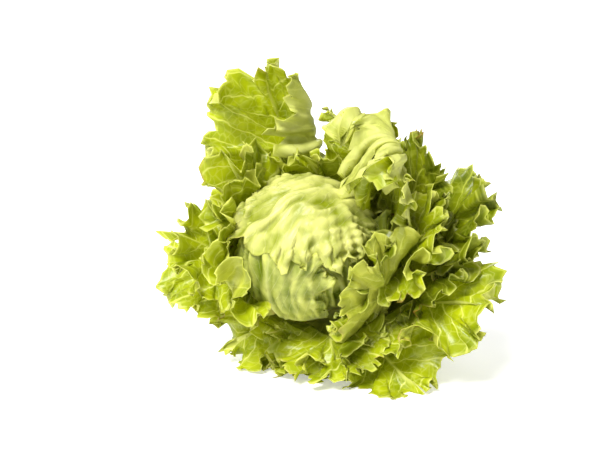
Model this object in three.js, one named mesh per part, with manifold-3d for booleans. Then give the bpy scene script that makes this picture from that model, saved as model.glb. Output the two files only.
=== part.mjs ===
// A loose-leaved head of crisp lettuce, leaning on its open lower leaves on a table.
// Every leaf is a thin cupped sheet that grows from the stem, wraps a ball around the heart and then
// leaves it to stand free. The table is the plane z = 0, and lengths are millimetres.
import * as THREE from "three";
import { mergeVertices } from "three/addons/utils/BufferGeometryUtils.js";
import Module from "manifold-3d";

const wasm = await Module();
wasm.setup();

// Driving dimensions of the head.
const HEAD_AXIS = new THREE.Vector3(-0.3, -0.62, 0.72).normalize(); // from the cut stem to the top
const HEART_HEIGHT = 106; // centre of the heart above the table
const BUD_RADIUS = 28; // tight bud in the middle
const FIRST_WRAP = 34; // ball radius of the innermost heart leaf
const HEART_SPACING = 5; // between two heart leaves
const OUTER_SPACING = 1.4; // between two leaves around the heart
const STEM_RADIUS = 15; // at the cut
const STEM_TOP_RADIUS = 9; // where the innermost leaf grows
const LEAF_ROOT = 16.5; // distance of a leaf's root from the stem's centre line
const WIDEST_AT = 0.62; // share of a leaf's length, up from its root
const BLADE_THICKNESS = 0.9;
const ROOT_THICKNESS = 3.4; // white rib at the root
const CLEARANCE = 0.2; // kept between two leaves that would touch

// How finely a leaf is faceted.
const RINGS = [0.3, 0.56, 0.77, 0.91, 1];
const SECTORS = 26;

// Leaves from the inside out. clock is the side of the head that the leaf grows on, in degrees from
// the right, anticlockwise as seen from the top. A leaf follows its ball until its heading is
// release, and then runs free for a length while its heading turns to end: 0 points straight out
// from the stem, 90 along the head's axis and 180 back over the top. wide is half its width, flare
// the share of the cup that is left at its tip, sweep how far the tip is turned around the axis,
// and floor the height that it keeps above the table where it is pressed flat. Each of rolls is a
// straight line on the flat blade, past which it bends over: a point of the line as a distance
// across and a length up from the root, the direction that bends (0 is across, 90 towards the
// tip), and the radius and angle of the bend.
const HEART_LEAVES = [
  { name: "heart_leaf_1", clock: 200, release: 176, end: 176, free: 6, wide: 40 },
  { name: "heart_leaf_2", clock: 335, release: 178, end: 178, free: 6, wide: 44, sweep: 8 },
  { name: "heart_leaf_3", clock: 105, release: 180, end: 180, free: 6, wide: 48 },
  { name: "heart_leaf_4", clock: 200, release: 168, end: 176, free: 8, wide: 54, sweep: -8 },
  { name: "heart_leaf_5", clock: 325, release: 158, end: 172, free: 8, wide: 58 },
  { name: "heart_leaf_6", clock: 258, release: 160, end: 172, free: 6, wide: 56, sweep: 6 },
  { name: "heart_leaf_cap", clock: 52, release: 206, end: 200, free: 22, wide: 72, sweep: -4 },
];

const OUTER_LEAVES = [
  { name: "inner_leaf_right", clock: 352, release: 84, end: 80, free: 34, wide: 50, sweep: 6 },
  { name: "inner_leaf_left", clock: 176, release: 118, end: 80, free: 34, wide: 50 },
  { name: "inner_leaf_top", clock: 96, release: 98, end: 90, free: 36, wide: 52 },
  { name: "inner_leaf_lower_left", clock: 222, release: 108, end: 70, free: 30, wide: 44, sweep: 4 },
  { name: "inner_leaf_bottom", clock: 296, release: 40, end: 0, free: 50, wide: 50 },
  { name: "folded_leaf_upper_right", clock: 38, release: 66, end: 74, free: 200, wide: 42,
    rolls: [[0, 170, 90, 12, 165]] },
  { name: "middle_leaf_upper_left", clock: 148, release: 92, end: 76, free: 60, wide: 50 },
  { name: "front_leaf_lower_right", clock: 344, release: 64, end: 92, free: 72, wide: 58 },
  { name: "middle_leaf_right", clock: 14, release: 60, end: 34, free: 84, wide: 56, sweep: -4 },
  { name: "middle_leaf_bottom", clock: 300, release: 36, end: -10, free: 64, wide: 50, floor: 4.8 },
  { name: "middle_leaf_top", clock: 74, release: 66, end: 66, free: 130, wide: 36,
    rolls: [[0, 164, 90, 10, 150]] },
  { name: "middle_leaf_left", clock: 184, release: 66, end: 44, free: 76, wide: 52 },
  { name: "middle_leaf_upper_right", clock: 44, release: 50, end: 52, free: 112, wide: 54 },
  { name: "middle_leaf_lower_left", clock: 226, release: 36, end: -30, free: 60, wide: 50, floor: 2 },
  { name: "outer_leaf_lower_right", clock: 354, release: 38, end: -8, free: 116, wide: 56 },
  { name: "outer_leaf_right", clock: 8, release: 40, end: 16, free: 100, wide: 52 },
  { name: "outer_leaf_upper_left", clock: 115, release: 55, end: 76, free: 156, wide: 74,
    rolls: [[-20, 0, 180, 9, 160]] },
  { name: "outer_leaf_upper_right", clock: 30, release: 34, end: 32, free: 134, wide: 54 },
  { name: "outer_leaf_left", clock: 185, release: 46, end: -10, free: 92, wide: 50 },
  { name: "outer_leaf_bottom", clock: 284, release: 32, end: -10, free: 52, wide: 50 },
  { name: "outer_leaf_top", clock: 58, release: 48, end: 56, free: 90, wide: 52 },
  { name: "base_leaf_lower_right", clock: 322, release: 30, end: -6, free: 100, wide: 50 },
  { name: "base_leaf_lower_left", clock: 234, release: 26, end: -4, free: 50, wide: 50 },
  { name: "base_leaf_back_right", clock: 40, release: 0, end: -130, free: 126, wide: 38 },
  { name: "base_leaf_back", clock: 110, release: 18, end: -40, free: 90, wide: 54 },
];

// Frame of the head: its own z runs up the head's axis, and x lies level, to the right.
const sideways = new THREE.Vector3(-HEAD_AXIS.y, HEAD_AXIS.x, 0).normalize();
const upwards = new THREE.Vector3().crossVectors(HEAD_AXIS, sideways);
const plumb = new THREE.Vector3(sideways.z, upwards.z, HEAD_AXIS.z); // the vertical, in that frame

const radians = THREE.MathUtils.degToRad;

// Point reached after a length along an arc whose heading turns evenly from one angle to another.
function alongArc(from, to, whole, length) {
  const turn = (to - from) / whole;
  if (Math.abs(turn) < 1e-6) return [Math.cos(from) * length, Math.sin(from) * length, from];
  const heading = from + turn * length;
  return [
    (Math.sin(heading) - Math.sin(from)) / turn,
    (Math.cos(from) - Math.cos(heading)) / turn,
    heading,
  ];
}

// Distance from the axis, height on it and heading of a leaf's midrib, a length from its root.
function midrib(leaf, length) {
  const rootAngle = Math.asin(LEAF_ROOT / leaf.wrap);
  const wrapped = leaf.wrap * (radians(leaf.release) - rootAngle);
  const foot = [LEAF_ROOT, -leaf.wrap * Math.cos(rootAngle)];
  const onBall = alongArc(rootAngle, radians(leaf.release), wrapped, Math.min(length, wrapped));
  const rest = Math.max(0, length - wrapped);
  const free = alongArc(radians(leaf.release), radians(leaf.end), leaf.free, rest);
  return {
    out: foot[0] + onBall[0] + (rest ? free[0] : 0),
    up: foot[1] + onBall[1] + (rest ? free[1] : 0),
    heading: rest ? free[2] : onBall[2],
  };
}

function leafLength(leaf) {
  return leaf.wrap * (radians(leaf.release) - Math.asin(LEAF_ROOT / leaf.wrap)) + leaf.free;
}

// Outline of the flat blade: an egg around its widest place, drawn in towards the root.
function outlineReach(leaf, angle) {
  const widest = leafLength(leaf) * WIDEST_AT;
  const up = Math.cos(angle) > 0;
  const across = Math.abs(Math.sin(angle)) / leaf.wide;
  const along = Math.abs(Math.cos(angle)) / (up ? leafLength(leaf) - widest : widest);
  const power = up ? 2.4 : 1.5;
  const lobes = 1 + 0.035 * Math.sin(5 * angle + leaf.wrap) + 0.025 * Math.sin(8 * angle - leaf.wrap);
  return (across ** power + along ** power) ** (-1 / power) * lobes;
}

// Place of a blade point in the head's frame, x across the flat blade and y up from the root.
function bladePoint(leaf, x, y) {
  const whole = leafLength(leaf);
  const along = THREE.MathUtils.clamp(y / whole, 0, 1);
  const rib = midrib(leaf, Math.max(0, y));
  const clock = radians(leaf.clock + leaf.sweep * along * along);
  const out = new THREE.Vector3(Math.cos(clock), Math.sin(clock), 0);
  const side = new THREE.Vector3(-Math.sin(clock), Math.cos(clock), 0);
  const inwards = out.clone().multiplyScalar(-Math.sin(rib.heading));
  inwards.z = Math.cos(rib.heading);
  const share = THREE.MathUtils.smoothstep(along, 0.45, 1);
  const cup = (1 / leaf.wrap) * THREE.MathUtils.lerp(1, leaf.flare, share);
  const lateral = Math.sin(cup * x) / cup;
  const depth = (1 - Math.cos(cup * x)) / cup;
  return out
    .multiplyScalar(rib.out)
    .addScaledVector(side, lateral)
    .addScaledVector(inwards, depth)
    .add(new THREE.Vector3(0, 0, rib.up));
}

// Place of a blade point with the first few rolls of its leaf.
function rolledPoint(leaf, x, y, level) {
  if (level === 0) return bladePoint(leaf, x, y);
  const [acrossAt, upAt, direction, radius, turn] = leaf.rolls[level - 1];
  const aheadX = Math.cos(radians(direction));
  const aheadY = Math.sin(radians(direction));
  const past = Math.max((x - acrossAt) * aheadX + (y - upAt) * aheadY, 0);
  const footX = x - past * aheadX;
  const footY = y - past * aheadY;
  const small = 0.5;
  const near = (dx, dy) => rolledPoint(leaf, footX + small * dx, footY + small * dy, level - 1);
  const foot = near(0, 0);
  const ahead = near(aheadX, aheadY).sub(foot).normalize();
  const aside = near(-aheadY, aheadX).sub(foot).normalize();
  const inwards = new THREE.Vector3().crossVectors(aside, ahead).normalize();
  const whole = radians(turn);
  const bent = Math.min(past / radius, whole);
  const beyond = Math.max(past - radius * whole, 0);
  return foot
    .addScaledVector(ahead, radius * Math.sin(bent) + beyond * Math.cos(whole))
    .addScaledVector(inwards, radius * (1 - Math.cos(bent)) + beyond * Math.sin(whole));
}

// The middle surface of a leaf as an indexed geometry: rings of points around the focus.
function bladeSurface(leaf, grow) {
  const widest = leafLength(leaf) * WIDEST_AT;
  const points = [rolledPoint(leaf, 0, widest, leaf.rolls.length)];
  const thickness = [BLADE_THICKNESS];
  for (const ring of RINGS)
    for (let s = 0; s < SECTORS; s++) {
      const angle = (s / SECTORS) * 2 * Math.PI;
      const reach = ring * outlineReach(leaf, angle) + (ring === 1 ? grow : 0);
      const y = widest + reach * Math.cos(angle);
      points.push(rolledPoint(leaf, reach * Math.sin(angle), y, leaf.rolls.length));
      const toRoot = THREE.MathUtils.clamp(1 - y / (0.45 * widest), 0, 1);
      thickness.push(THREE.MathUtils.lerp(BLADE_THICKNESS, ROOT_THICKNESS, toRoot));
    }
  const faces = [];
  for (let s = 0; s < SECTORS; s++) {
    const next = (s + 1) % SECTORS;
    faces.push(0, 1 + next, 1 + s);
    for (let r = 1; r < RINGS.length; r++) {
      const inner = 1 + (r - 1) * SECTORS;
      const outer = inner + SECTORS;
      faces.push(inner + s, inner + next, outer + s);
      faces.push(inner + next, outer + next, outer + s);
    }
  }
  points.forEach((p, i) => {
    const lowest = leaf.floor + thickness[i] / 2 - HEART_HEIGHT;
    const height = p.dot(plumb);
    if (height < lowest) p.addScaledVector(plumb, lowest - height);
  });
  return { points, thickness, faces };
}

// A solid from a middle surface: a skin on each side of it and a rim between them.
function thickened(surface, extra) {
  const flat = new Float32Array(surface.points.flatMap((p) => p.toArray()));
  const middle = new THREE.BufferGeometry()
    .setAttribute("position", new THREE.BufferAttribute(flat, 3))
    .setIndex(surface.faces);
  middle.computeVertexNormals();
  const normals = middle.getAttribute("normal");
  const count = surface.points.length;
  const places = new Float32Array(count * 6);
  surface.points.forEach((p, i) => {
    const normal = new THREE.Vector3().fromBufferAttribute(normals, i);
    const offset = surface.thickness[i] / 2 + extra;
    p.clone().addScaledVector(normal, offset).toArray(places, i * 3);
    p.clone().addScaledVector(normal, -offset).toArray(places, (count + i) * 3);
  });
  const faces = [];
  for (let i = 0; i < surface.faces.length; i += 3) {
    const [a, b, c] = surface.faces.slice(i, i + 3);
    faces.push(a, b, c, count + a, count + c, count + b);
  }
  const rim = count - SECTORS;
  for (let s = 0; s < SECTORS; s++) {
    const here = rim + s;
    const next = rim + ((s + 1) % SECTORS);
    faces.push(here, next, count + here, next, count + next, count + here);
  }
  return new wasm.Manifold(
    new wasm.Mesh({ numProp: 3, vertProperties: places, triVerts: new Uint32Array(faces) }),
  );
}

function solidOf(geometry) {
  const bare = geometry.clone();
  bare.deleteAttribute("normal");
  bare.deleteAttribute("uv");
  const merged = mergeVertices(bare, 1e-4);
  return new wasm.Manifold(
    new wasm.Mesh({
      numProp: 3,
      vertProperties: merged.getAttribute("position").array,
      triVerts: new Uint32Array(merged.index.array),
    }),
  );
}

function geometryOf(solid) {
  const mesh = solid.getMesh();
  return new THREE.BufferGeometry()
    .setAttribute("position", new THREE.BufferAttribute(new Float32Array(mesh.vertProperties), 3))
    .setIndex(new THREE.BufferAttribute(new Uint32Array(mesh.triVerts), 1));
}

// What is left of a solid in one piece when everything placed before it is kept clear.
function clearOf(solid, placed) {
  let left = solid;
  for (const other of placed) left = left.subtract(other);
  return left.decompose().reduce((a, b) => (a.volume() > b.volume() ? a : b));
}

const leafGreen = new THREE.Color().setRGB(0.42, 0.6, 0.06);
const heartGreen = new THREE.Color().setRGB(0.72, 0.8, 0.3);
const stemWhite = new THREE.Color().setRGB(0.86, 0.84, 0.66);

function addMesh(group, name, geometry, colour) {
  const material = new THREE.MeshStandardMaterial({ color: colour, roughness: 0.45, metalness: 0 });
  const mesh = new THREE.Mesh(geometry, material);
  mesh.name = name;
  group.add(mesh);
}

// The stem: a tapered stump with a flat cut, under the lowest leaf.
function stemGeometry(lowestRoot, highestRoot) {
  const profile = [
    new THREE.Vector2(0, lowestRoot - 8),
    new THREE.Vector2(STEM_RADIUS - 1.2, lowestRoot - 8),
    new THREE.Vector2(STEM_RADIUS, lowestRoot - 6.8),
    new THREE.Vector2(STEM_RADIUS - 1, (lowestRoot + highestRoot) / 2),
    new THREE.Vector2(STEM_TOP_RADIUS, highestRoot - 5),
    new THREE.Vector2(STEM_TOP_RADIUS - 4, highestRoot - 2),
    new THREE.Vector2(0, highestRoot - 1.2),
  ];
  return new THREE.LatheGeometry(profile, 20).rotateX(Math.PI / 2);
}

// The bud: the tight little leaves in the middle, as one ribbed ball.
function budGeometry() {
  const ball = new THREE.SphereGeometry(BUD_RADIUS, 18, 12);
  const places = ball.getAttribute("position");
  const p = new THREE.Vector3();
  for (let i = 0; i < places.count; i++) {
    p.fromBufferAttribute(places, i);
    const round = Math.atan2(p.z, p.x);
    const off = Math.hypot(p.x, p.z) / BUD_RADIUS;
    p.multiplyScalar(1 + 0.05 * off * Math.sin(3 * round + p.y / 9));
    places.setXYZ(i, p.x, p.y, p.z);
  }
  return ball.rotateX(Math.PI / 2);
}

const head = new THREE.Group();
head.matrixAutoUpdate = false;
head.matrix.makeBasis(sideways, upwards, HEAD_AXIS).setPosition(0, 0, HEART_HEIGHT);

const plain = { sweep: 0, floor: 0, rolls: [] };
const heartLeaves = HEART_LEAVES.map((leaf, i) => ({
  ...plain,
  flare: 1,
  ...leaf,
  wrap: FIRST_WRAP + i * HEART_SPACING,
}));
const lastHeartWrap = heartLeaves.at(-1).wrap;
const outerLeaves = OUTER_LEAVES.map((leaf, i) => ({
  ...plain,
  flare: 0.15,
  ...leaf,
  wrap: lastHeartWrap + 3 + i * OUTER_SPACING,
}));
const allLeaves = [...heartLeaves, ...outerLeaves];

const rootHeight = (leaf) => midrib(leaf, 0).up;
const stem = stemGeometry(rootHeight(allLeaves.at(-1)), rootHeight(allLeaves[0]));
addMesh(head, "stem", stem, stemWhite);
addMesh(head, "heart_bud", budGeometry(), heartGreen);

const placed = [solidOf(stem), solidOf(budGeometry())];
for (const leaf of allLeaves) {
  const whole = thickened(bladeSurface(leaf, 0), 0);
  const kept = clearOf(whole, placed);
  addMesh(head, leaf.name, geometryOf(kept), heartLeaves.includes(leaf) ? heartGreen : leafGreen);
  placed.push(thickened(bladeSurface(leaf, CLEARANCE), CLEARANCE));
}

// The origin is under the middle of the whole head, on the table.
const lettuce = new THREE.Group();
lettuce.add(head);
lettuce.updateMatrixWorld(true);
const box = new THREE.Box3().setFromObject(lettuce, true);
const middle = box.getCenter(new THREE.Vector3());
lettuce.position.set(-middle.x, -middle.y, -box.min.z);

export default lettuce;
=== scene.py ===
import math

import bpy
import numpy as np
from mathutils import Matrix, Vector


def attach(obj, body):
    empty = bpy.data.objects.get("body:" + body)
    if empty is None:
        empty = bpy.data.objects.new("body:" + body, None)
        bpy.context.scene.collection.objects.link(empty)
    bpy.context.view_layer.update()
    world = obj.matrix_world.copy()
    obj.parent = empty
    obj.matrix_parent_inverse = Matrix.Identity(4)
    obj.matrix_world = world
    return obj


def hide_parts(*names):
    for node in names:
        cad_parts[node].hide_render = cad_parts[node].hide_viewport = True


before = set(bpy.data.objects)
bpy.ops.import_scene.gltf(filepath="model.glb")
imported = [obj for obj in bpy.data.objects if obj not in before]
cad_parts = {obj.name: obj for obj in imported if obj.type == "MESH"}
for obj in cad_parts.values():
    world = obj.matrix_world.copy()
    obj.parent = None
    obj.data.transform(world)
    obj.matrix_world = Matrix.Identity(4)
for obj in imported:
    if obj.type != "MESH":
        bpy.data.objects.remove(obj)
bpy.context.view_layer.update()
print("frame loaded:", len(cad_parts), "nodes")

# Lengths in the dictionaries are millimetres and angles degrees. A mesh is made in metres at its end.
mm = 0.001

head = {
    "axis": (-0.30, -0.62, 0.72),  # from the cut stem to the top
    "firstWrap": 34,  # ball radius of the innermost heart leaf
    "heartSpacing": 5,
    "outerSpacing": 1.4,
    "widestAt": 0.62,  # share of a leaf's length
    "leafRoot": 16.5,  # from the stem's centre line to a leaf's root
    "stemRadius": 15,
    "cutBelowRoot": 8,  # from the lowest root down to the cut
    "bladeThickness": 0.55,
    "rimThickness": 0.3,
    "ribThickness": 4.2,
}

# clock: side of the head, anticlockwise from the right. release: heading where the leaf stops
# wrapping its ball. end: heading at the tip after the free length. wide: half the width.
# floor: height kept above the table. ruffle, frill: size of the long and short waves of the margin.
# rolls: places where the blade turns over: (across, up from the root, direction, radius, turn).
# paint: which pair of leaf skins, from the dictionary of paints. The deep pair is a darker copy of the fresh
# green that paints shade on leaves lying in shade.
heartLeaves = {
    "heart_leaf_1": {"clock": 200, "release": 176, "end": 176, "free": 6, "wide": 40},
    "heart_leaf_2": {"clock": 335, "release": 178, "end": 178, "free": 6, "wide": 44, "sweep": 8},
    "heart_leaf_3": {"clock": 105, "release": 180, "end": 180, "free": 6, "wide": 48},
    "heart_leaf_4": {"clock": 200, "release": 168, "end": 176, "free": 8, "wide": 54, "sweep": -8},
    "heart_leaf_5": {"clock": 325, "release": 158, "end": 172, "free": 8, "wide": 58},
    "heart_leaf_6": {"clock": 258, "release": 160, "end": 172, "free": 6, "wide": 56, "sweep": 6},
    "heart_leaf_cap": {"clock": 52, "release": 206, "end": 200, "free": 22, "wide": 72, "sweep": -4,
                       "ruffle": 3, "frill": 5, "blister": 3.2, "paint": "cap"},
}
outerLeaves = {
    "inner_leaf_right": {"clock": 352, "release": 84, "end": 80, "free": 34, "wide": 50, "sweep": 6,
                         "paint": "deep"},
    "inner_leaf_left": {"clock": 176, "release": 118, "end": 80, "free": 34, "wide": 50},
    "inner_leaf_top": {"clock": 96, "release": 98, "end": 90, "free": 36, "wide": 52},
    "inner_leaf_lower_left": {"clock": 222, "release": 108, "end": 70, "free": 30, "wide": 44, "sweep": 4},
    "inner_leaf_bottom": {"clock": 296, "release": 40, "end": 0, "free": 50, "wide": 50},
    "folded_leaf_upper_right": {"clock": 38, "release": 66, "end": 74, "free": 200, "wide": 42,
                                "paint": "pale", "rolls": [(0, 170, 90, 12, 165)]},
    "middle_leaf_upper_left": {"clock": 148, "release": 92, "end": 76, "free": 60, "wide": 50},
    "front_leaf_lower_right": {"clock": 344, "release": 64, "end": 92, "free": 72, "wide": 58},
    "middle_leaf_right": {"clock": 14, "release": 60, "end": 34, "free": 84, "wide": 56, "sweep": -4},
    "middle_leaf_bottom": {"clock": 300, "release": 36, "end": -10, "free": 64, "wide": 50, "floor": 4.8},
    "middle_leaf_top": {"clock": 74, "release": 66, "end": 66, "free": 130, "wide": 36,
                        "paint": "pale", "rolls": [(0, 164, 90, 10, 150)]},
    "middle_leaf_left": {"clock": 184, "release": 66, "end": 44, "free": 76, "wide": 52},
    "middle_leaf_upper_right": {"clock": 44, "release": 50, "end": 52, "free": 112, "wide": 54,
                                "paint": "deep"},
    "middle_leaf_lower_left": {"clock": 226, "release": 36, "end": -30, "free": 60, "wide": 50, "floor": 2},
    "outer_leaf_lower_right": {"clock": 354, "release": 38, "end": -8, "free": 116, "wide": 56},
    "outer_leaf_right": {"clock": 8, "release": 40, "end": 16, "free": 100, "wide": 52,
                         "paint": "deep"},
    "outer_leaf_upper_left": {"clock": 115, "release": 55, "end": 76, "free": 156, "wide": 74,
                              "paint": "pale", "rolls": [(-20, 0, 180, 9, 160)]},
    "outer_leaf_upper_right": {"clock": 30, "release": 34, "end": 32, "free": 134, "wide": 54,
                               "paint": "deep"},
    "outer_leaf_left": {"clock": 185, "release": 46, "end": -10, "free": 92, "wide": 50},
    "outer_leaf_bottom": {"clock": 284, "release": 32, "end": -10, "free": 52, "wide": 50},
    "outer_leaf_top": {"clock": 58, "release": 48, "end": 56, "free": 90, "wide": 52, "paint": "deep"},
    "base_leaf_lower_right": {"clock": 322, "release": 30, "end": -6, "free": 100, "wide": 50},
    "base_leaf_lower_left": {"clock": 234, "release": 26, "end": -4, "free": 50, "wide": 50},
    "base_leaf_back_right": {"clock": 40, "release": 0, "end": -130, "free": 126, "wide": 38,
                             "paint": "deep"},
    "base_leaf_back": {"clock": 110, "release": 18, "end": -40, "free": 90, "wide": 54,
                       "paint": "deep"},
}
leafDefaults = {"sweep": 0, "floor": 0, "ruffle": 16, "frill": 7, "crinkle": 2.4, "paint": "fresh",
                "rolls": []}


# Basis of the head: right, up and along the axis, as the columns of a matrix.
def headBasis():
    axis = np.array(head["axis"], float)
    axis /= np.linalg.norm(axis)
    sideways = np.array([-axis[1], axis[0], 0.0])
    sideways /= np.linalg.norm(sideways)
    return np.column_stack([sideways, np.cross(axis, sideways), axis])


basis = headBasis()


# Centre of the heart: the stem's points average onto the axis, and its cut is the lowest of them.
def heartCentre(lowestRoot):
    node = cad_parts["stem"].data
    points = np.empty(len(node.vertices) * 3)
    node.vertices.foreach_get("co", points)
    points = points.reshape(-1, 3) / mm
    along = points @ basis[:, 2]
    across = points - np.outer(along, basis[:, 2])
    cut = along.min()
    return across.mean(0) + basis[:, 2] * (cut - (lowestRoot - head["cutBelowRoot"]))


# One arc of a midrib: heading turns evenly, so the path is a circle's.
def alongArc(start, stop, whole, length):
    turn = (stop - start) / whole
    if abs(turn) < 1e-6:
        return np.cos(start) * length, np.sin(start) * length, start + 0 * length
    heading = start + turn * length
    return (np.sin(heading) - np.sin(start)) / turn, (np.cos(start) - np.cos(heading)) / turn, heading


def rootAngle(leaf):
    return math.asin(head["leafRoot"] / leaf["wrap"])


def leafLength(leaf):
    return leaf["wrap"] * (math.radians(leaf["release"]) - rootAngle(leaf)) + leaf["free"]


# Midrib: an arc of the ball, then an arc of the free part. Gives distance out, height and heading.
def midrib(leaf, length):
    foot = rootAngle(leaf)
    release, end = math.radians(leaf["release"]), math.radians(leaf["end"])
    wrapped = leaf["wrap"] * (release - foot)
    ball = alongArc(foot, release, wrapped, np.minimum(length, wrapped))
    rest = np.maximum(0, length - wrapped)
    free = alongArc(release, end, leaf["free"], rest)
    out = head["leafRoot"] + ball[0] + free[0]
    up = -leaf["wrap"] * math.cos(foot) + ball[1] + free[1]
    return out, up, np.where(rest > 0, free[2], ball[2])


def smooth(value, low, high):
    share = np.clip((value - low) / (high - low), 0, 1)
    return share * share * (3 - 2 * share)


# Flat blade to head frame: x bends around the midrib with the ball's curvature, less towards the tip.
def bladePoint(leaf, x, y):
    whole = leafLength(leaf)
    share = np.clip(y / whole, 0, 1)
    out, up, heading = midrib(leaf, np.maximum(0, y))
    clock = np.radians(leaf["clock"] + leaf["sweep"] * share * share)
    cup = (1 / leaf["wrap"]) * (1 + (leaf["flare"] - 1) * smooth(share, 0.45, 1))
    lateral = np.sin(cup * x) / cup
    depth = (1 - np.cos(cup * x)) / cup
    reach = out - np.sin(heading) * depth
    return np.stack([
        np.cos(clock) * reach - np.sin(clock) * lateral,
        np.sin(clock) * reach + np.cos(clock) * lateral,
        up + np.cos(heading) * depth,
    ], axis=-1)


# Blade with its rolls: past a straight line on the flat blade, the surface bends round a cylinder
# that touches it along the line, up to the turn, and goes on straight.
def rolledPoint(leaf, x, y, level):
    if level == 0:
        return bladePoint(leaf, x, y)
    acrossAt, upAt, direction, radius, turn = leaf["rolls"][level - 1]
    aheadX, aheadY = math.cos(math.radians(direction)), math.sin(math.radians(direction))
    past = np.maximum((x - acrossAt) * aheadX + (y - upAt) * aheadY, 0)
    footX, footY = x - past * aheadX, y - past * aheadY
    small = 0.5
    foot = rolledPoint(leaf, footX, footY, level - 1)
    ahead = rolledPoint(leaf, footX + small * aheadX, footY + small * aheadY, level - 1) - foot
    aside = rolledPoint(leaf, footX - small * aheadY, footY + small * aheadX, level - 1) - foot
    ahead /= np.linalg.norm(ahead, axis=-1, keepdims=True)
    inwards = np.cross(aside, ahead)
    inwards /= np.linalg.norm(inwards, axis=-1, keepdims=True)
    whole = math.radians(abs(turn))
    bent = np.minimum(past / radius, whole)
    beyond = np.maximum(past - radius * whole, 0)
    side = math.copysign(1, turn)
    forward = radius * np.sin(bent) + beyond * math.cos(whole)
    over = side * (radius * (1 - np.cos(bent)) + beyond * math.sin(whole))
    return foot + ahead * forward[..., None] + inwards * over[..., None]


# Outline of the flat blade: a superellipse around its widest place, drawn in towards the root.
def outlineReach(leaf, angle):
    widest = leafLength(leaf) * head["widestAt"]
    across = np.abs(np.sin(angle)) / leaf["wide"]
    along = np.abs(np.cos(angle)) / np.where(np.cos(angle) > 0, leafLength(leaf) - widest, widest)
    power = np.where(np.cos(angle) > 0, 2.4, 1.5)
    lobes = 0.035 * np.sin(5 * angle + leaf["wrap"]) + 0.025 * np.sin(8 * angle - leaf["wrap"])
    lobes = 1 + lobes * smooth(np.cos(angle), -1, -0.5)
    return (across ** power + along ** power) ** (-1 / power) * lobes


# Smooth random field: random values on a lattice, blended with a cubic step between them.
def valueNoise(u, v, seed):
    table = np.random.RandomState(seed).uniform(-1, 1, (64, 64))
    iu, iv = np.floor(u).astype(int), np.floor(v).astype(int)
    fu, fv = u - iu, v - iv
    fu, fv = fu * fu * (3 - 2 * fu), fv * fv * (3 - 2 * fv)
    def at(a, b):
        return table[a % 64, b % 64]
    low = at(iu, iv) * (1 - fu) + at(iu + 1, iv) * fu
    high = at(iu, iv + 1) * (1 - fu) + at(iu + 1, iv + 1) * fu
    return low * (1 - fv) + high * fv


# Unit normals and unit tangents along the margin, from differences on the ring and sector grid.
def surfaceFrame(points):
    around = np.roll(points, -1, 1) - np.roll(points, 1, 1)
    outward = np.gradient(points, axis=0)
    normal = np.cross(outward, around)
    normal /= np.linalg.norm(normal, axis=-1, keepdims=True) + 1e-9
    around = around / (np.linalg.norm(around, axis=-1, keepdims=True) + 1e-9)
    return normal, around


# A train of waves along the margin: a sine whose phase and height both wander.
def waveTrain(arc, length, seed):
    random = np.random.RandomState(seed)
    shift = random.uniform(0, 2 * math.pi, 4)
    phase = 2 * math.pi * arc / length + shift[0]
    phase = phase + 1.3 * np.sin(2 * math.pi * arc / (2.7 * length) + shift[1])
    phase = phase + 0.7 * np.sin(2 * math.pi * arc / (1.63 * length) + shift[2])
    height = 0.68 + 0.32 * np.sin(2 * math.pi * arc / (3.3 * length) + shift[3])
    return phase, height


# Leaf surface on a grid of rings and sectors, with its waves put on in three sizes. Each size moves
# the points along the normals of the one before, and sideways, so that a wave's crest bulges over.
def leafSurface(leaf, rings, sectors, seed):
    whole = leafLength(leaf)
    widest = whole * head["widestAt"]
    edge = np.linspace(0, 1, rings + 1)[1:, None] ** 0.85
    angle = np.linspace(0, 2 * math.pi, sectors, endpoint=False)[None, :]
    reach = outlineReach(leaf, angle)
    step = np.hypot(np.gradient(reach[0] * np.sin(angle[0])), np.gradient(reach[0] * np.cos(angle[0])))
    arc = np.cumsum(step)[None, :]
    teeth = 0.83 + 0.2 * np.abs(valueNoise(arc / 17, 0 * arc, seed))
    teeth = teeth + 0.08 * np.abs(valueNoise(arc / 6, 0 * arc + 9, seed))
    teeth = teeth + 0.01 * valueNoise(arc / 2.6, 0 * arc, seed)
    teeth = 1 + (teeth - 1) * smooth(np.cos(angle), -1, -0.6)
    x = edge * reach * np.sin(angle) * teeth
    y = widest + edge * reach * np.cos(angle) * teeth
    points = rolledPoint(leaf, x, y, len(leaf["rolls"]))
    away = smooth(y / whole, 0.12, 0.5)
    sizes = ((56, leaf["ruffle"], 1.7, 1), (21, leaf["frill"], 4, 2), (8, leaf["crinkle"], 11, 3))
    for length, height, power, level in sizes:
        normal, around = surfaceFrame(points)
        phase, tall = waveTrain(arc + (1 - edge) * length * 0.25, length, seed * 10 + level)
        strength = edge ** power * away
        points = points + normal * (height * tall * strength * np.sin(phase))[..., None]
        points = points - around * (0.45 * height * strength * edge * np.sin(2 * phase))[..., None]
    normal, around = surfaceFrame(points)
    wander = x + 5 * valueNoise(x / 30, y / 22, seed + 5)
    acrossCell, alongCell = wander / leaf["blisterWide"], y / leaf["blisterLong"]
    ridge = 0.7 - 1.7 * np.abs(valueNoise(acrossCell, alongCell, seed + 3))
    ridge = ridge + 0.4 * valueNoise(acrossCell * 2.3, alongCell * 2.3, seed + 4)
    points = points - normal * (leaf["blister"] * ridge * smooth(y / whole, 0.1, 0.4))[..., None]
    middle = rolledPoint(leaf, np.zeros(1), np.full(1, widest), len(leaf["rolls"]))
    return points, middle, x, y, edge + 0 * angle, ridge


# Presses points down onto a level: a soft maximum of height and level.
def pressed(points, level, softness=1.2):
    height = (points[:, 2] - level) / softness
    points[:, 2] = level + softness * np.logaddexp(0, height)
    return points


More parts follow.
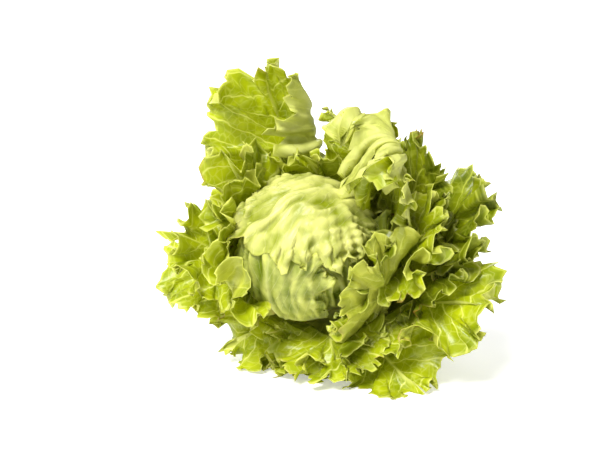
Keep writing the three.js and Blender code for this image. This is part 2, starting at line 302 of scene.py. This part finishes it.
# Closed leaf: an inner and an outer skin, the outer one swelling into the rib, and a rim joining them.
def leafMesh(name, leaf, rings, sectors, seed, centre, materials):
    grid, middle, x, y, edge, ridge = leafSurface(leaf, rings, sectors, seed)
    flat = np.vstack([middle, grid.reshape(-1, 3)])
    points = flat @ basis.T + centre
    whole = leafLength(leaf)
    flatX = np.concatenate([[0], x.ravel()])
    flatY = np.concatenate([[whole * head["widestAt"]], y.ravel()])
    flatEdge = np.concatenate([[0], edge.ravel()])
    flatRidge = np.clip(np.concatenate([[ridge[0].mean()], ridge.ravel()]) * 0.5 + 0.5, 0, 1)
    clearOfTable = 0.6
    points = pressed(points, leaf["floor"] + clearOfTable)
    grid = points[1:].reshape(rings, sectors, 3)
    normal = surfaceFrame(grid)[0]
    normal = np.vstack([normal[0].mean(0)[None], normal.reshape(-1, 3)])
    normal /= np.linalg.norm(normal, axis=1, keepdims=True)
    up = np.clip(1 - flatY / (0.75 * whole), 0, 1)
    rib = np.exp(-(flatX / (1.5 + 5 * up)) ** 2) * up ** 1.3
    thick = head["bladeThickness"] + (head["ribThickness"] - head["bladeThickness"]) * rib
    thick = thick + (head["rimThickness"] - head["bladeThickness"]) * smooth(flatEdge, 0.8, 1)
    inner = points + normal * 0.25 * thick[:, None]
    outer = points - normal * 0.75 * thick[:, None]
    both = np.vstack([inner, outer]) * mm
    count = len(points)
    here = np.arange(sectors)
    after = (here + 1) % sectors
    caps = np.column_stack([0 * here, 1 + here, 1 + after])
    ring = 1 + (np.arange(rings - 1) * sectors)[:, None]
    quads = np.stack([ring + here, ring + sectors + here, ring + sectors + after, ring + after], -1)
    quads = quads.reshape(-1, 4)
    last = 1 + (rings - 1) * sectors
    rim = np.column_stack([last + here, count + last + here, count + last + after, last + after])
    faces = [*caps.tolist(), *quads.tolist()]
    faces += [*(caps[:, ::-1] + count).tolist(), *(quads[:, ::-1] + count).tolist(), *rim.tolist()]
    mesh = bpy.data.meshes.new(name + "_mesh")
    mesh.from_pydata(both.tolist(), [], faces)
    side = len(caps) + len(quads)
    index = np.zeros(len(faces), np.int32)
    index[side:] = 1
    mesh.polygons.foreach_set("material_index", index)
    mesh.polygons.foreach_set("use_smooth", np.ones(len(faces), bool))
    loops = np.empty(len(mesh.loops), np.int32)
    mesh.loops.foreach_get("vertex_index", loops)
    blade = np.column_stack([flatX, flatY])[loops % count] * 0.01
    mesh.uv_layers.new(name="blade").data.foreach_set("uv", blade.astype(np.float32).ravel())
    shares = {"edge": flatEdge, "up": np.clip(flatY / whole, 0, 1), "ridge": flatRidge}
    for title, values in shares.items():
        layer = mesh.attributes.new(title, "FLOAT", "POINT")
        layer.data.foreach_set("value", np.tile(values, 2).astype(np.float32))
    piece = bpy.data.objects.new(name, mesh)
    bpy.context.scene.collection.objects.link(piece)
    for material in materials:
        mesh.materials.append(material)
    mesh.update()
    return piece


# Small helpers for node trees.
def addNode(tree, kind, **settings):
    node = tree.nodes.new(kind)
    for key, value in settings.items():
        setattr(node, key, value)
    return node


def mathNode(tree, operation, a, b=None, clamp=False):
    node = addNode(tree, "ShaderNodeMath", operation=operation, use_clamp=clamp)
    for socket, value in zip(node.inputs, (a, b)):
        if value is None:
            continue
        if isinstance(value, (int, float)):
            socket.default_value = value
        else:
            tree.links.new(value, socket)
    return node.outputs[0]


def mixColour(tree, share, first, second):
    node = addNode(tree, "ShaderNodeMix", data_type="RGBA")
    for socket, value in zip((node.inputs[0], node.inputs[6], node.inputs[7]), (share, first, second)):
        if isinstance(value, tuple):
            socket.default_value = (*value, 1)
        elif isinstance(value, (int, float)):
            socket.default_value = value
        else:
            tree.links.new(value, socket)
    return node.outputs[2]


# Leaf skin: green that varies in clouds, paler at the root, along the veins and on the margin.
def leafMaterial(name, look):
    material = bpy.data.materials.new(name)
    material.use_nodes = True
    tree = material.node_tree
    tree.nodes.clear()
    uv = addNode(tree, "ShaderNodeUVMap", uv_map="blade").outputs[0]
    split = addNode(tree, "ShaderNodeSeparateXYZ")
    tree.links.new(uv, split.inputs[0])
    edge = addNode(tree, "ShaderNodeAttribute", attribute_name="edge").outputs["Fac"]
    up = addNode(tree, "ShaderNodeAttribute", attribute_name="up").outputs["Fac"]
    wobble = addNode(tree, "ShaderNodeTexNoise")
    tree.links.new(uv, wobble.inputs["Vector"])
    wobble.inputs["Scale"].default_value = 6
    wobble.inputs["Detail"].default_value = 2
    bent = mathNode(tree, "MULTIPLY", mathNode(tree, "SUBTRACT", wobble.outputs[0], 0.5), 0.1)
    across = mathNode(tree, "ABSOLUTE", split.outputs[0])
    onSide = mathNode(tree, "MULTIPLY", mathNode(tree, "GREATER_THAN", split.outputs[0], 0), 0.5)
    # side veins leave the midrib at even steps and climb outwards
    climb = mathNode(tree, "SUBTRACT", split.outputs[1], mathNode(tree, "MULTIPLY", across, look["climb"]))
    climb = mathNode(tree, "ADD", climb, bent)
    turns = mathNode(tree, "ADD", mathNode(tree, "DIVIDE", climb, look["veinStep"]), onSide)
    wave = mathNode(tree, "ABSOLUTE", mathNode(tree, "SUBTRACT", mathNode(tree, "FRACT", turns), 0.5))
    line = mathNode(tree, "MULTIPLY", mathNode(tree, "SUBTRACT", 0.5, wave), look["veinStep"])
    sideVein = mathNode(tree, "SUBTRACT", 1, mathNode(tree, "DIVIDE", line, look["veinWidth"]), clamp=True)
    ribWidth = mathNode(tree, "MULTIPLY", mathNode(tree, "SUBTRACT", 1.05, up), look["ribWidth"])
    rib = mathNode(tree, "SUBTRACT", 1, mathNode(tree, "DIVIDE", across, ribWidth), clamp=True)
    net = addNode(tree, "ShaderNodeTexVoronoi", feature="DISTANCE_TO_EDGE")
    tree.links.new(uv, net.inputs["Vector"])
    net.inputs["Scale"].default_value = look["netScale"]
    netLine = mathNode(tree, "SUBTRACT", 1, mathNode(tree, "DIVIDE", net.outputs[0], 0.09), clamp=True)
    veins = mathNode(tree, "MAXIMUM", mathNode(tree, "MAXIMUM", sideVein, rib),
                     mathNode(tree, "MULTIPLY", netLine, look["netShare"]))
    clouds = addNode(tree, "ShaderNodeTexNoise")
    tree.links.new(uv, clouds.inputs["Vector"])
    clouds.inputs["Scale"].default_value = 5
    clouds.inputs["Detail"].default_value = 5
    # The tone also follows the ridges, darker in their valleys: partly the leaf's own colour, partly painted
    # shade in the creases.
    ridge = addNode(tree, "ShaderNodeAttribute", attribute_name="ridge").outputs["Fac"]
    tone = mathNode(tree, "MULTIPLY", mathNode(tree, "SUBTRACT", clouds.outputs[0], 0.5), 2)
    tone = mathNode(tree, "ADD", tone, mathNode(tree, "MULTIPLY", ridge, look["ridgeShare"]))
    tone = mathNode(tree, "ADD", tone, 0.5 * (1 - look["ridgeShare"]), clamp=True)
    base = mixColour(tree, tone, look["deep"], look["light"])
    root = addNode(tree, "ShaderNodeMapRange")
    tree.links.new(up, root.inputs[0])
    root.inputs[1].default_value, root.inputs[2].default_value = 0.08, look["rootReach"]
    base = mixColour(tree, mathNode(tree, "SUBTRACT", 1, root.outputs[0], clamp=True), base, look["root"])
    base = mixColour(tree, mathNode(tree, "MULTIPLY", veins, look["veinShare"]), base, look["vein"])
    margin = addNode(tree, "ShaderNodeMapRange")
    tree.links.new(edge, margin.inputs[0])
    margin.inputs[1].default_value, margin.inputs[2].default_value = 0.95, 1
    base = mixColour(tree, mathNode(tree, "MULTIPLY", margin.outputs[0], 0.6), base, look["rim"])
    # brown places, on the margin and as a few small specks
    scorch = addNode(tree, "ShaderNodeTexNoise")
    tree.links.new(uv, scorch.inputs["Vector"])
    scorch.inputs["Scale"].default_value = 3.4
    patch = mathNode(tree, "MULTIPLY", mathNode(tree, "SUBTRACT", scorch.outputs[0], 0.58), 9, clamp=True)
    browned = mathNode(tree, "MULTIPLY", mathNode(tree, "MULTIPLY", patch, margin.outputs[0]), look["scorch"])
    specks = addNode(tree, "ShaderNodeTexVoronoi")
    tree.links.new(uv, specks.inputs["Vector"])
    specks.inputs["Scale"].default_value = 9
    nearness = mathNode(tree, "SUBTRACT", 0.07, specks.outputs["Distance"])
    dot = mathNode(tree, "MULTIPLY", nearness, 20, clamp=True)
    dot = mathNode(tree, "MULTIPLY", mathNode(tree, "MULTIPLY", dot, patch), look["scorch"])
    base = mixColour(tree, mathNode(tree, "MAXIMUM", browned, dot), base, look["brown"])
    bump = addNode(tree, "ShaderNodeBump")
    bump.inputs["Strength"].default_value = look["bump"]
    bump.inputs["Distance"].default_value = 0.0006
    fine = addNode(tree, "ShaderNodeTexNoise")
    tree.links.new(uv, fine.inputs["Vector"])
    fine.inputs["Scale"].default_value = 40
    height = mathNode(tree, "ADD", mathNode(tree, "MULTIPLY", veins, look["veinRise"]), fine.outputs[0])
    tree.links.new(height, bump.inputs["Height"])
    skin = addNode(tree, "ShaderNodeBsdfPrincipled")
    tree.links.new(base, skin.inputs["Base Color"])
    skin.inputs["Roughness"].default_value = look["roughness"]
    skin.inputs["Specular IOR Level"].default_value = 0.5
    tree.links.new(bump.outputs[0], skin.inputs["Normal"])
    through = addNode(tree, "ShaderNodeBsdfTranslucent")
    glow = mixColour(tree, 0.35, base, look["glow"])
    tree.links.new(glow, through.inputs["Color"])
    tree.links.new(bump.outputs[0], through.inputs["Normal"])
    both = addNode(tree, "ShaderNodeMixShader")
    both.inputs[0].default_value = look["through"]
    tree.links.new(skin.outputs[0], both.inputs[1])
    tree.links.new(through.outputs[0], both.inputs[2])
    output = addNode(tree, "ShaderNodeOutputMaterial")
    tree.links.new(both.outputs[0], output.inputs[0])
    return material


greenTop = {
    "deep": (0.21, 0.28, 0.002), "light": (0.60, 0.66, 0.008), "root": (0.78, 0.80, 0.22),
    "vein": (0.90, 0.92, 0.24), "rim": (0.86, 0.88, 0.20), "glow": (0.80, 0.84, 0.006),
    "brown": (0.30, 0.13, 0.012), "climb": 0.9, "veinStep": 0.16, "veinWidth": 0.011,
    "ribWidth": 0.055, "netScale": 15, "netShare": 0.32, "veinShare": 0.85, "veinRise": -0.4,
    "ridgeShare": 0.25, "bump": 0.45, "roughness": 0.34, "rootReach": 0.4, "through": 0.38, "scorch": 0.8,
}
greenUnder = {**greenTop, "deep": (0.40, 0.45, 0.025), "light": (0.74, 0.75, 0.10), "veinRise": 1.2,
              "roughness": 0.5, "veinShare": 0.55, "ridgeShare": 0.8}
# Painted shade: a darker copy of the green skins, with more browning, for the leaves that lie in shade.
paintedShadeTop = {**greenTop, "deep": (0.10, 0.14, 0.002), "light": (0.38, 0.43, 0.005),
           "vein": (0.66, 0.70, 0.10), "glow": (0.42, 0.52, 0.004), "scorch": 1}
paintedShadeUnder = {**paintedShadeTop, "deep": (0.22, 0.28, 0.01), "light": (0.50, 0.56, 0.05), "veinRise": 1.2}
paleUnder = {**greenUnder, "deep": (0.56, 0.60, 0.08), "light": (0.86, 0.87, 0.28), "scorch": 0.4}
heartUnder = {**greenTop, "deep": (0.34, 0.40, 0.008), "light": (0.92, 0.91, 0.30),
              "root": (0.90, 0.90, 0.45), "vein": (0.92, 0.92, 0.42), "veinRise": 1.2, "climb": 2.2,
              "glow": (0.85, 0.90, 0.08), "roughness": 0.4, "ridgeShare": 1.0, "veinShare": 0.35,
              "netShare": 0.15, "scorch": 0.25}
heartTop = {**heartUnder, "veinRise": -0.4}
# Painted shade: a darker copy of the heart's under skin, for the heart leaves below the cap, where the cap's
# margin shades them.
shadedHeartUnder = {**heartUnder, "deep": (0.20, 0.27, 0.005), "light": (0.76, 0.78, 0.20)}

paints = {
    # heart: its under skin carries painted shade, darker than the cap's
    "heart": [leafMaterial("heart_top", heartTop), leafMaterial("heart_under_painted_shade", shadedHeartUnder)],
    "cap": [leafMaterial("cap_top", heartTop), leafMaterial("cap_under", heartUnder)],
    "fresh": [leafMaterial("leaf_top", greenTop), leafMaterial("leaf_under", greenUnder)],
    # deep: the painted-shade pair, darker skins for the leaves in shade
    "deep": [leafMaterial("painted_shade_leaf_top", paintedShadeTop), leafMaterial("painted_shade_leaf_under", paintedShadeUnder)],
    "pale": [leafMaterial("pale_leaf_top", greenTop), leafMaterial("pale_leaf_under", paleUnder)],
}

names = [*heartLeaves, *outerLeaves]
lastHeartWrap = head["firstWrap"] + (len(heartLeaves) - 1) * head["heartSpacing"]
leaves = {}
# Heart leaves take the heart pair by default, whose under skin carries painted shade.
for number, (name, leaf) in enumerate(heartLeaves.items()):
    leaves[name] = {**leafDefaults, "flare": 1, "ruffle": 1.5, "frill": 2.5, "blister": 2.3,
                    "blisterWide": 6.5, "blisterLong": 30, "paint": "heart", **leaf,
                    "wrap": head["firstWrap"] + number * head["heartSpacing"]}
for number, (name, leaf) in enumerate(outerLeaves.items()):
    leaves[name] = {**leafDefaults, "flare": 0.15, "blister": 0.9, "blisterWide": 12, "blisterLong": 14,
                    **leaf, "wrap": lastHeartWrap + 3 + number * head["outerSpacing"]}
lowestRoot = -leaves[names[-1]]["wrap"] * math.cos(rootAngle(leaves[names[-1]]))
centre = heartCentre(lowestRoot)
print("heart centre", centre.round(1))

# rings and sectors of a leaf's grid, fewer on the leaves inside the heart
leafGrids = {"seen": (38, 218), "hidden": (20, 110), "quick": (24, 130)}
hiddenLeaves = ("heart_leaf_1", "heart_leaf_2", "heart_leaf_3")
for number, name in enumerate(names):
    rings, sectors = leafGrids["hidden" if name in hiddenLeaves else "seen"]
    paint = paints[leaves[name]["paint"]]
    piece = leafMesh(name + "_blade", leaves[name], rings, sectors, 11 + number, centre, paint)
    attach(piece, "root")
    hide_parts(name)
print("leaves made:", len(names))


# Flesh of the stem and the bud: pale with fine streaks along the head's axis, brown below a level.
def fleshMaterial(name, look):
    material = bpy.data.materials.new(name)
    material.use_nodes = True
    tree = material.node_tree
    skin = tree.nodes["Principled BSDF"]
    place = addNode(tree, "ShaderNodeTexCoord").outputs["Object"]
    streaks = addNode(tree, "ShaderNodeTexNoise")
    tree.links.new(place, streaks.inputs["Vector"])
    streaks.inputs["Scale"].default_value = look["streakScale"]
    streaks.inputs["Detail"].default_value = 6
    base = mixColour(tree, streaks.outputs[0], look["dark"], look["pale"])
    along = addNode(tree, "ShaderNodeVectorMath", operation="DOT_PRODUCT")
    tree.links.new(place, along.inputs[0])
    along.inputs[1].default_value = tuple(basis[:, 2])
    cut = mathNode(tree, "SUBTRACT", look["cutLevel"], along.outputs["Value"])
    cut = mathNode(tree, "MULTIPLY", cut, 900, clamp=True)
    base = mixColour(tree, mathNode(tree, "MULTIPLY", cut, 0.75), base, look["cut"])
    tree.links.new(base, skin.inputs["Base Color"])
    skin.inputs["Roughness"].default_value = look["roughness"]
    bump = addNode(tree, "ShaderNodeBump")
    bump.inputs["Strength"].default_value = 0.5
    bump.inputs["Distance"].default_value = 0.0008
    tree.links.new(streaks.outputs[0], bump.inputs["Height"])
    tree.links.new(bump.outputs[0], skin.inputs["Normal"])
    return material


lowestCut = (centre @ basis[:, 2] + lowestRoot - head["cutBelowRoot"] + 1) * mm
stemFlesh = {"dark": (0.52, 0.55, 0.22), "pale": (0.80, 0.78, 0.50), "cut": (0.33, 0.16, 0.06),
             "streakScale": 160, "cutLevel": lowestCut, "roughness": 0.6}
budFlesh = {"dark": (0.50, 0.58, 0.06), "pale": (0.90, 0.90, 0.40), "cut": (0.80, 0.80, 0.40),
            "streakScale": 90, "cutLevel": -1.0, "roughness": 0.45}
for name, look in (("stem", stemFlesh), ("heart_bud", budFlesh)):
    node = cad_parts[name]
    node.data.materials.clear()
    node.data.materials.append(fleshMaterial(name + "_flesh", look))

# Stage
bpy.ops.mesh.primitive_plane_add(size=30, location=(0, 0, 0))
floor = bpy.context.object
floor.name = "floor"
floorPaint = bpy.data.materials.new("floor_white")
floorPaint.use_nodes = True
floorSkin = floorPaint.node_tree.nodes["Principled BSDF"]
floorSkin.inputs["Base Color"].default_value = (0.86, 0.86, 0.86, 1)
floorSkin.inputs["Roughness"].default_value = 0.7
floorSkin.inputs["Emission Color"].default_value = (1, 1, 1, 1)
floorSkin.inputs["Emission Strength"].default_value = 0.4
floor.data.materials.append(floorPaint)

world = bpy.data.worlds.new("studio")
bpy.context.scene.world = world
world.use_nodes = True
world.node_tree.nodes["Background"].inputs[0].default_value = (1, 1, 1, 1)
world.node_tree.nodes["Background"].inputs[1].default_value = 0.3


def lampFacing(name, kind, place, target, **settings):
    lamp = bpy.data.lights.new(name, kind)
    for key, value in settings.items():
        setattr(lamp, key, value)
    thing = bpy.data.objects.new(name, lamp)
    thing.location = place
    thing.rotation_euler = (Vector(target) - Vector(place)).to_track_quat("-Z", "Y").to_euler()
    bpy.context.scene.collection.objects.link(thing)


lampFacing("key", "SUN", (-0.6, -0.95, 1.45), (0, 0, 0.1), energy=5.0, angle=math.radians(24))
lampFacing("back", "AREA", (-0.3, 1.1, 0.7), (0, 0, 0.18), energy=12, size=0.7)

camera = bpy.data.cameras.new("camera")
eye = bpy.data.objects.new("camera", camera)
bpy.context.scene.collection.objects.link(eye)
camera.lens = 85
camera.sensor_width = 36
target = Vector((centre + (-5.1, 0, 21.7)) * mm)
elevation = math.radians(12)
distance = 1.2
eye.location = target + Vector((0, -math.cos(elevation), math.sin(elevation))) * distance
eye.rotation_euler = (target - eye.location).to_track_quat("-Z", "Y").to_euler()
bpy.context.scene.camera = eye
bpy.context.scene.view_settings.view_transform = "Standard"

print("stage, lights and camera set")
